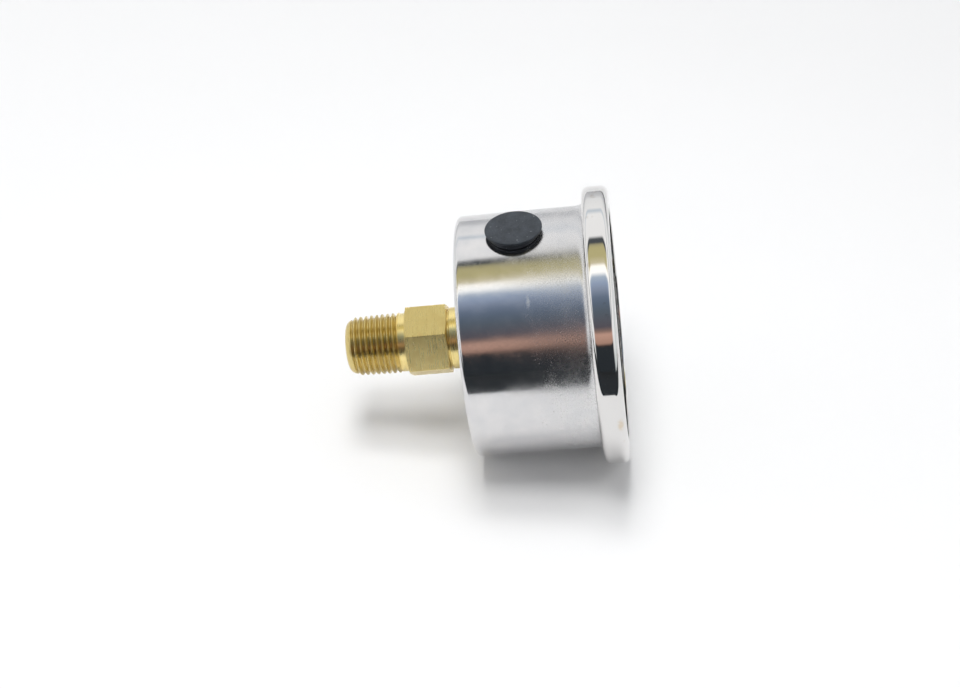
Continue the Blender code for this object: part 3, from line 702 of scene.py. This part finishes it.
def make_case():
    """The drawn cup: a flat back with the socket's hole, a side with the plug's hole, and a flared rim."""
    inner, back = CASE_RADIUS - CASE_WALL, CASE_BACK
    flange = CASE_FRONT - CASE_WALL
    flare_at = (CASE_RADIUS + FLARE, flange - FLARE)
    bend = CASE_CORNER - CASE_WALL
    outline = [(SOCKET_HOLE_RADIUS, back)]
    outline += arc((CASE_RADIUS - CASE_CORNER, back + CASE_CORNER), CASE_CORNER, -90, 0, 14)
    outline += arc(flare_at, FLARE, 180, 90, 18)
    outline += [(FLANGE_RADIUS, flange), (FLANGE_RADIUS, CASE_FRONT)]
    outline += arc(flare_at, FLARE + CASE_WALL, 90, 180, 18)
    outline += arc((inner - bend, back + CASE_CORNER), bend, 0, -90, 8)
    outline += [(SOCKET_HOLE_RADIUS, back + CASE_WALL)]
    top, bottom = CASE_RADIUS + 3, CASE_RADIUS - 5.6
    hole = [(0, top), (PLUG_HOLE_RADIUS, top), (PLUG_HOLE_RADIUS, bottom), (0, bottom)]
    shape = carved(turned(eased(outline)), turned(hole, COARSE, PLUG_AXIS, False))
    piece("case_cup", shape, CASE_METAL, "housing", ["case_shell"])


def make_bezel():
    """The crimped ring, from its lip over the window to the curl behind the case's flange."""
    rim, back, front = BEZEL_RADIUS, BEZEL_BACK, BEZEL_FRONT
    inside = rim - BEZEL_WALL
    mouth, curl, back_bend, front_bend = 0.15, 0.2, 0.45, 0.6
    outline = arc((OPENING_RADIUS + mouth, front - mouth), mouth, 180, 90, 4)
    outline += arc((rim - BEZEL_FRONT_ROUND, front - BEZEL_FRONT_ROUND), BEZEL_FRONT_ROUND, 90, 0, 18)
    outline += arc((rim - BEZEL_BACK_ROUND, back + BEZEL_BACK_ROUND), BEZEL_BACK_ROUND, 0, -90, 14)
    outline += arc((LIP_RADIUS + curl, back + curl), curl, -90, -180, 4)
    outline += [(LIP_RADIUS, back + BEZEL_WALL)]
    outline += arc((inside - back_bend, back + BEZEL_WALL + back_bend), back_bend, -90, 0, 6)
    outline += arc((inside - front_bend, front - LIP_THICKNESS - front_bend), front_bend, 0, 90, 6)
    outline += [(OPENING_RADIUS, front - LIP_THICKNESS)]
    piece("bezel", turned(eased(outline)), BEZEL_METAL, "housing", ["bezel_ring"])


def make_window():
    """The window and the round-edged rubber ring that seals it."""
    face, back, rim = WINDOW_FACE, WINDOW_BACK, WINDOW_RADIUS
    face_edge, back_edge = 0.3, 0.1
    outline = [(0, face)] + arc((rim - face_edge, face - face_edge), face_edge, 90, 0, 5)
    outline += arc((rim - back_edge, back + back_edge), back_edge, 0, -90, 3) + [(0, back)]
    shape = turned(eased(outline, False), closed=False)
    piece("window", shape, WINDOW, "housing", ["window_lens"])
    edge = (GASKET_FRONT - GASKET_BACK) / 2
    outline = arc((SEAL_OPENING_RADIUS + edge, GASKET_BACK + edge), edge, 270, 90, 8)
    outline += arc((GASKET_RADIUS - edge, GASKET_BACK + edge), edge, 90, -90, 8)
    piece("window_seal", turned(outline), RUBBER, "housing", ["window_gasket"])


def hex_angles():
    """Column angles for the socket: even, with close ones at the hexagon's rounded corners."""
    round_corner = (-0.68, -0.34, 0, 0.34, 0.68, 1.1)
    first, apart, last = 2.5, 1.8644, 58.9
    across = [first + apart * step for step in range(30)]
    turns = [HEX_TURN + 60 * side + reach for side in range(6) for reach in (*round_corner, *across, last)]
    return [math.radians(turn) for turn in turns]


def hex_radius(angle):
    """How far out the hexagon's side is, with its corners rounded to HEX_EDGE."""
    sixth = math.radians(60)
    reach = abs((angle - math.radians(HEX_TURN) + sixth / 2) % sixth - sixth / 2)
    centre = (HEX_FLATS / 2 - HEX_EDGE) / math.cos(sixth / 2)
    touch = math.atan2(HEX_EDGE / 2, centre + HEX_EDGE * math.cos(sixth / 2))
    if reach < touch:
        return centre * math.cos(reach) + math.sqrt(HEX_EDGE**2 - (centre * math.sin(reach)) ** 2)
    return HEX_FLATS / 2 / math.cos(sixth / 2 - reach)


def thread_radius(z, angle):
    """The tapered thread: rounded crests and roots, a rounded start and a run-out into the relief."""
    phase_start, root, flank = 0.07, 0.10, 0.78
    crest = min(THREAD_END_RADIUS + THREAD_TAPER * z, PIPE_RADIUS)
    phase = (z / THREAD_PITCH - angle / math.tau - phase_start) % 1
    ridge = min(max((1 - abs(2 * phase - 1) - root) / flank, 0), 1)
    ridge = 0.45 * ridge + 0.55 * ridge * ridge * (3 - 2 * ridge)
    fade = min(max((THREAD_LENGTH - z) / THREAD_RUN_OUT, 0), 1)
    floor = crest - THREAD_DEPTH + (RELIEF_RADIUS - crest + THREAD_DEPTH) * (1 - fade)
    radius = max(floor, floor + (crest - floor) * ridge)
    start_face, start_round, start_slope = 3.25, 1.45, 1.6
    if z <= start_round:
        return min(radius, start_face + math.sqrt(start_round**2 - (start_round - z) ** 2))
    return min(radius, start_face + start_round + (z - start_round) * start_slope)


def make_socket():
    """Thread, relief, hexagon, neck and spigots in one piece, with the bore through it."""
    hex_steps = 40
    chamfer_slope = 0.27
    face = HEX_FLATS / 2 - 0.06
    corner_from = HEX_FLATS / 2 * 1.14
    worn_off = 0.02

    def thread_row(z):
        return lambda angle: (thread_radius(z, angle), z)

    def hex_row(share):
        def spot(angle):
            radius = hex_radius(angle)
            cut = (radius - face) * chamfer_slope
            low, high = HEX_BACK + cut, HEX_FRONT - cut
            z = low + (high - low) * share
            wear = worn_off * max(noise.noise((z * 3, angle * 2, 0)), 0) * (radius > corner_from)
            return radius - wear, z

        return spot

    steps = round(THREAD_LENGTH / THREAD_PITCH * 16)
    rows = [thread_row(THREAD_LENGTH * step / steps) for step in range(steps + 1)]
    root, edge, shoulder, mouth = 0.1, 0.1, 0.2, 0.2
    rows += eased([(RELIEF_RADIUS, THREAD_LENGTH + 0.05), (RELIEF_RADIUS, HEX_BACK - root)], False)
    rows += [(RELIEF_RADIUS + 0.3 * root, HEX_BACK - 0.3 * root), (RELIEF_RADIUS + root, HEX_BACK)]
    rows += [(face, HEX_BACK)]
    rows += [hex_row(step / hex_steps) for step in range(hex_steps + 1)]
    rows += [(face, HEX_FRONT), (GROOVE_RADIUS, HEX_FRONT)]
    neck = [(GROOVE_RADIUS, HEX_FRONT + 0.22)]
    neck += arc((NECK_RADIUS - shoulder, HEX_FRONT + 0.25 + shoulder), shoulder, -90, 0, 5)
    neck += arc((NECK_RADIUS - edge, NECK_END - edge), edge, 0, 90, 4) + [(SPIGOT_RADIUS, NECK_END)]
    neck += [(SPIGOT_RADIUS, SPIGOT_END - edge), (SPIGOT_RADIUS - edge, SPIGOT_END)]
    neck += [(BLOCK_SPIGOT_RADIUS, SPIGOT_END), (BLOCK_SPIGOT_RADIUS, BLOCK_SPIGOT_END)]
    neck += [(NARROW_BORE_RADIUS, BLOCK_SPIGOT_END), (NARROW_BORE_RADIUS, NARROW_BORE_START)]
    neck += [(BORE_RADIUS, BORE_END), (BORE_RADIUS, mouth), (BORE_RADIUS + mouth, 0)]
    rows += eased(neck, False)
    piece("threaded_socket", turned(rows, hex_angles()), BRASS, "housing", ["socket"])


def make_plug():
    """The rubber plug: a nearly flat top, a neck that follows the case, and a beaded shank in its hole."""

    def seat(radius, above):
        def spot(angle):
            aside = radius * math.cos(angle)
            return radius, math.sqrt(PLUG_SEAT_RADIUS**2 - aside**2) + above

        return spot

    rim, neck, top = PLUG_RADIUS, PLUG_NECK_RADIUS, PLUG_TOP
    crown, shank, bead, bottom = PLUG_CROWN_RADIUS, PLUG_SHANK_RADIUS, PLUG_BEAD_RADIUS, PLUG_BOTTOM
    domed = [(0, top)]
    domed += [(r, top - PLUG_CROWN_DROP * (r / crown) ** 2) for r in (0.8, 1.6, 2.4, 3.2, 3.9, crown)]
    rim_round = 0.15
    rows = arc((rim - rim_round, top - 0.27), rim_round, 80, -10, 6)
    rows += [(rim - 0.02, top - 0.48), (rim - 0.1, top - 0.56)]
    rows += [(neck + 0.08, top - 0.58), (neck + 0.04, top - 0.66)]
    rows += [(neck + 0.16, top - 0.72), (neck + 0.16, top - 0.82), (neck, top - 0.9), (neck, top - 1.0)]
    rows += [seat(neck, 0.08), seat(neck - 0.08, 0.0), seat(3.6, 0.0), seat(3.0, 0.0), seat(shank, -0.1)]
    rows += [(shank, bottom + 1.35), (bead - 0.08, bottom + 1.1), (bead, bottom + 0.9)]
    rows += [(bead, bottom + 0.4), (bead - 0.1, bottom + 0.2), (bead - 0.6, bottom), (0, bottom)]
    shape = turned(eased(domed, False) + rows, ROUND[::2], PLUG_AXIS, False)
    piece("filling_plug", shape, RUBBER, "plug", ["fill_plug"], 50)


def slotted_head(radius, low, high, at):
    """A screw: its round head has a soft edge and a slot, and its shank goes down behind the dial."""
    edge, shank_radius, shank_end = 0.12, 0.5, low - 2.2
    slot_half, slot_floor = 0.16, high - 0.22
    place = GAUGE @ Matrix.Translation((*at, 0))
    rows = [(0, high)] + arc((radius - edge, high - edge), edge, 90, 0, 4) + [(radius, low)]
    rows += [(shank_radius, low), (shank_radius, shank_end), (0, shank_end)]
    turn = Matrix.Rotation(at[0], 4, "Z")
    slot = block((-radius - 1, -slot_half, slot_floor), (radius + 1, slot_half, high + 1), place @ turn)
    return carved(turned(eased(rows, False), COARSE, place, False), slot)


def scale_mark(turn, inner, outer, width):
    """A printed mark that points at the dial's centre."""
    place = GAUGE @ Matrix.Rotation(math.radians(-turn), 4, "Z")
    return block((-width / 2, inner, DIAL_FACE), (width / 2, outer, DIAL_FACE + INK_THICKNESS), place)


def scale_line(inner, outer):
    """The thin arc that the marks hang from."""
    start, end = 90 - SCALE_START, 90 - SCALE_START - SCALE_SWEEP
    outline = arc((0, 0), outer, start, end, 180) + arc((0, 0), inner, end, start, 180)
    return flat([outline], DIAL_FACE, DIAL_FACE + INK_THICKNESS)


def lettering(words, size, at):
    """Printed words, centred on a place on the dial."""
    curve = bpy.data.curves.new("text", "FONT")
    curve.body = words
    curve.size = size
    curve.align_x = "CENTER"
    curve.align_y = "CENTER"
    curve.extrude = INK_THICKNESS / 2
    curve.offset = 0.03
    drawn = bpy.data.objects.new("text", curve)
    bpy.context.scene.collection.objects.link(drawn)
    shape = as_shape(drawn)
    place = GAUGE @ Matrix.Translation((*at, DIAL_FACE + LETTER_LIFT))
    bmesh.ops.remove_doubles(shape, verts=shape.verts, dist=0.0001)
    bmesh.ops.recalc_face_normals(shape, faces=shape.faces)
    bmesh.ops.transform(shape, matrix=place, verts=shape.verts)
    return shape


def printed_scale(scale):
    """The line, marks, numbers and unit of a scale."""

    def turn_for(value):
        return SCALE_START + SCALE_SWEEP * (value * scale["per_unit"]) / FULL_SCALE

    shapes = [scale_line(*scale["line"])]
    for value in scale["values"]:
        start, width = scale["short_mark" if value % scale["long_every"] else "long_mark"]
        shapes.append(scale_mark(turn_for(value), start, scale["marks_end"], width))
    radius, size = scale["numbers"]
    for value in scale["values"]:
        if value % scale["long_every"] == 0:
            turn = turn_for(value) + scale["numbers_shift"].get(value, 0)
            shapes.append(lettering(str(value), size, clock(turn, radius)))
    word, size, height = scale["unit"]
    shapes.append(lettering(word, size, (0, height)))
    return merged(shapes)


def make_dial():
    """The dial with its two printed scales, its screws and the pointer's stop."""
    stop_at = clock(STOP_TURN, STOP_PLACE_RADIUS)
    holes = [circle(HUB_HOLE_RADIUS), circle(STOP_HOLE_RADIUS, stop_at)]
    holes += [circle(DIAL_SCREW_HOLE_RADIUS, at) for at in DIAL_SCREWS]
    plate = flat([circle(DIAL_RADIUS, steps=256)] + holes, DIAL_BACK, DIAL_FACE, edge=0.06)
    piece("dial", plate, DIAL_PAINT, "housing", ["dial_plate"])

    piece("dial_scale", printed_scale(PSI_SCALE), INK, "housing")
    piece("dial_second_scale", printed_scale(BAR_SCALE), RED_INK, "housing")
    for number, at in enumerate(DIAL_SCREWS, 1):
        head = slotted_head(DIAL_SCREW_RADIUS, DIAL_FACE + 0.1, DIAL_FACE + 0.55, at)
        piece(f"dial_fixing_{number}", head, PLAIN_STEEL, "housing", [f"dial_screw_{number}"])
    low, high = measured("stop_pin")[1:]
    edge = 0.15
    pin = [(0, high)] + arc((STOP_PIN_RADIUS - edge, high - edge), edge, 90, 0, 4)
    pin += [(STOP_PIN_RADIUS, low), (0, low)]
    shape = turned(pin, COARSE, GAUGE @ Matrix.Translation((*stop_at, 0)), False)
    piece("pointer_stop", shape, PLAIN_STEEL, "housing", ["stop_pin"])


def make_pointer():
    """The blade with its counterweight, and the cap of its hub."""

    weight_half, root_half, taper = 0.9, 0.55, 0.39
    weight_at, waist_at = -3.5, -1.5

    def half_width(x):
        boss = math.sqrt(max(POINTER_BOSS_RADIUS**2 - x * x, 0))
        if x < weight_at:
            rounding = (weight_at - x) / (POINTER_TAIL + weight_at)
            return max(boss, weight_half - 0.5 * rounding**6)
        if x < waist_at:
            return max(boss, weight_half - weight_half / 2 * (x - weight_at) / (waist_at - weight_at))
        return max(boss, root_half - taper * max(x, 0) / POINTER_REACH)

    # Close stations round the boss and the counterweight, wide ones along the straight blade.
    stations = [-POINTER_TAIL + 0.1 * step for step in range(80)]
    stations += [2 + 0.4 * step for step in range(33)]
    half = [(x, half_width(x)) for x in stations]
    outline = [(x, -y) for x, y in half] + [(x, y) for x, y in half[::-1]]
    place = GAUGE @ Matrix.Rotation(math.radians(90 - SCALE_START), 4, "Z")
    blade = flat([outline, circle(1.05)], POINTER_BACK, POINTER_FRONT, place, 0.05)
    piece("pointer_blade", blade, POINTER_PAINT, "pointer", ["pointer"])
    staff_hole, sleeve, edge, underside = 0.55, 0.9, 0.18, POINTER_FRONT + 0.12
    outline = [(staff_hole, HUB_FRONT)] + arc((HUB_RADIUS - edge, HUB_FRONT - edge), edge, 90, 0, 5)
    outline += [(HUB_RADIUS, underside), (sleeve, underside), (sleeve, HUB_BACK), (staff_hole, HUB_BACK)]
    piece("pointer_cap", turned(eased(outline), COARSE), INNER_BRASS, "pointer", ["pointer_hub"])


def finish_inner_nodes():
    """The frame's own solids stay for the movement behind the dial, each with the finish of its slot."""
    finishes = {
        "brass": INNER_BRASS,
        "bronze": BRONZE,
        "plain_steel": PLAIN_STEEL,
        "rubber": RUBBER,
    }
    for part in frame["record"]["subparts"]:
        shown = frame["nodes"][part["node"]]
        if not shown.hide_render:
            for place in shown.material_slots:
                place.material = finishes[part["material_slot"]]


CASE_METAL = case_metal()
BEZEL_METAL = bezel_metal()
BRASS = brass_metal("turned_brass", (0.93, 0.76, 0.33), (0.84, 0.67, 0.28), (0.24, 0.32), 0.0006)
INNER_BRASS = brass_metal("movement_brass", (0.82, 0.63, 0.28), (0.66, 0.49, 0.20), (0.22, 0.38), 0.001)
BRONZE = plain_metal("spring_bronze", (0.62, 0.38, 0.20), (0.24, 0.4), (1, 1, 1))
PLAIN_STEEL = plain_metal("screw_steel", (0.58, 0.58, 0.59), (0.18, 0.34), (1, 0.4, 1))
RUBBER = rubber()
WINDOW = window_plastic()
DIAL_PAINT = paint("dial_white", (0.86, 0.86, 0.84), (0.82, 0.82, 0.80), (0.34, 0.46))
INK = paint("dial_black", (0.012, 0.012, 0.013), (0.02, 0.02, 0.021), (0.35, 0.5))
RED_INK = paint("dial_red", (0.50, 0.025, 0.02), (0.42, 0.02, 0.018), (0.35, 0.5))
POINTER_PAINT = paint("pointer_black", (0.014, 0.014, 0.015), (0.024, 0.024, 0.025), (0.3, 0.45), 0.003)

bpy.context.scene.view_settings.view_transform = "Standard"
make_camera()
make_world()
make_stage()
make_lights()
make_case()
make_bezel()
make_window()
make_socket()
make_plug()
make_dial()
make_pointer()
finish_inner_nodes()
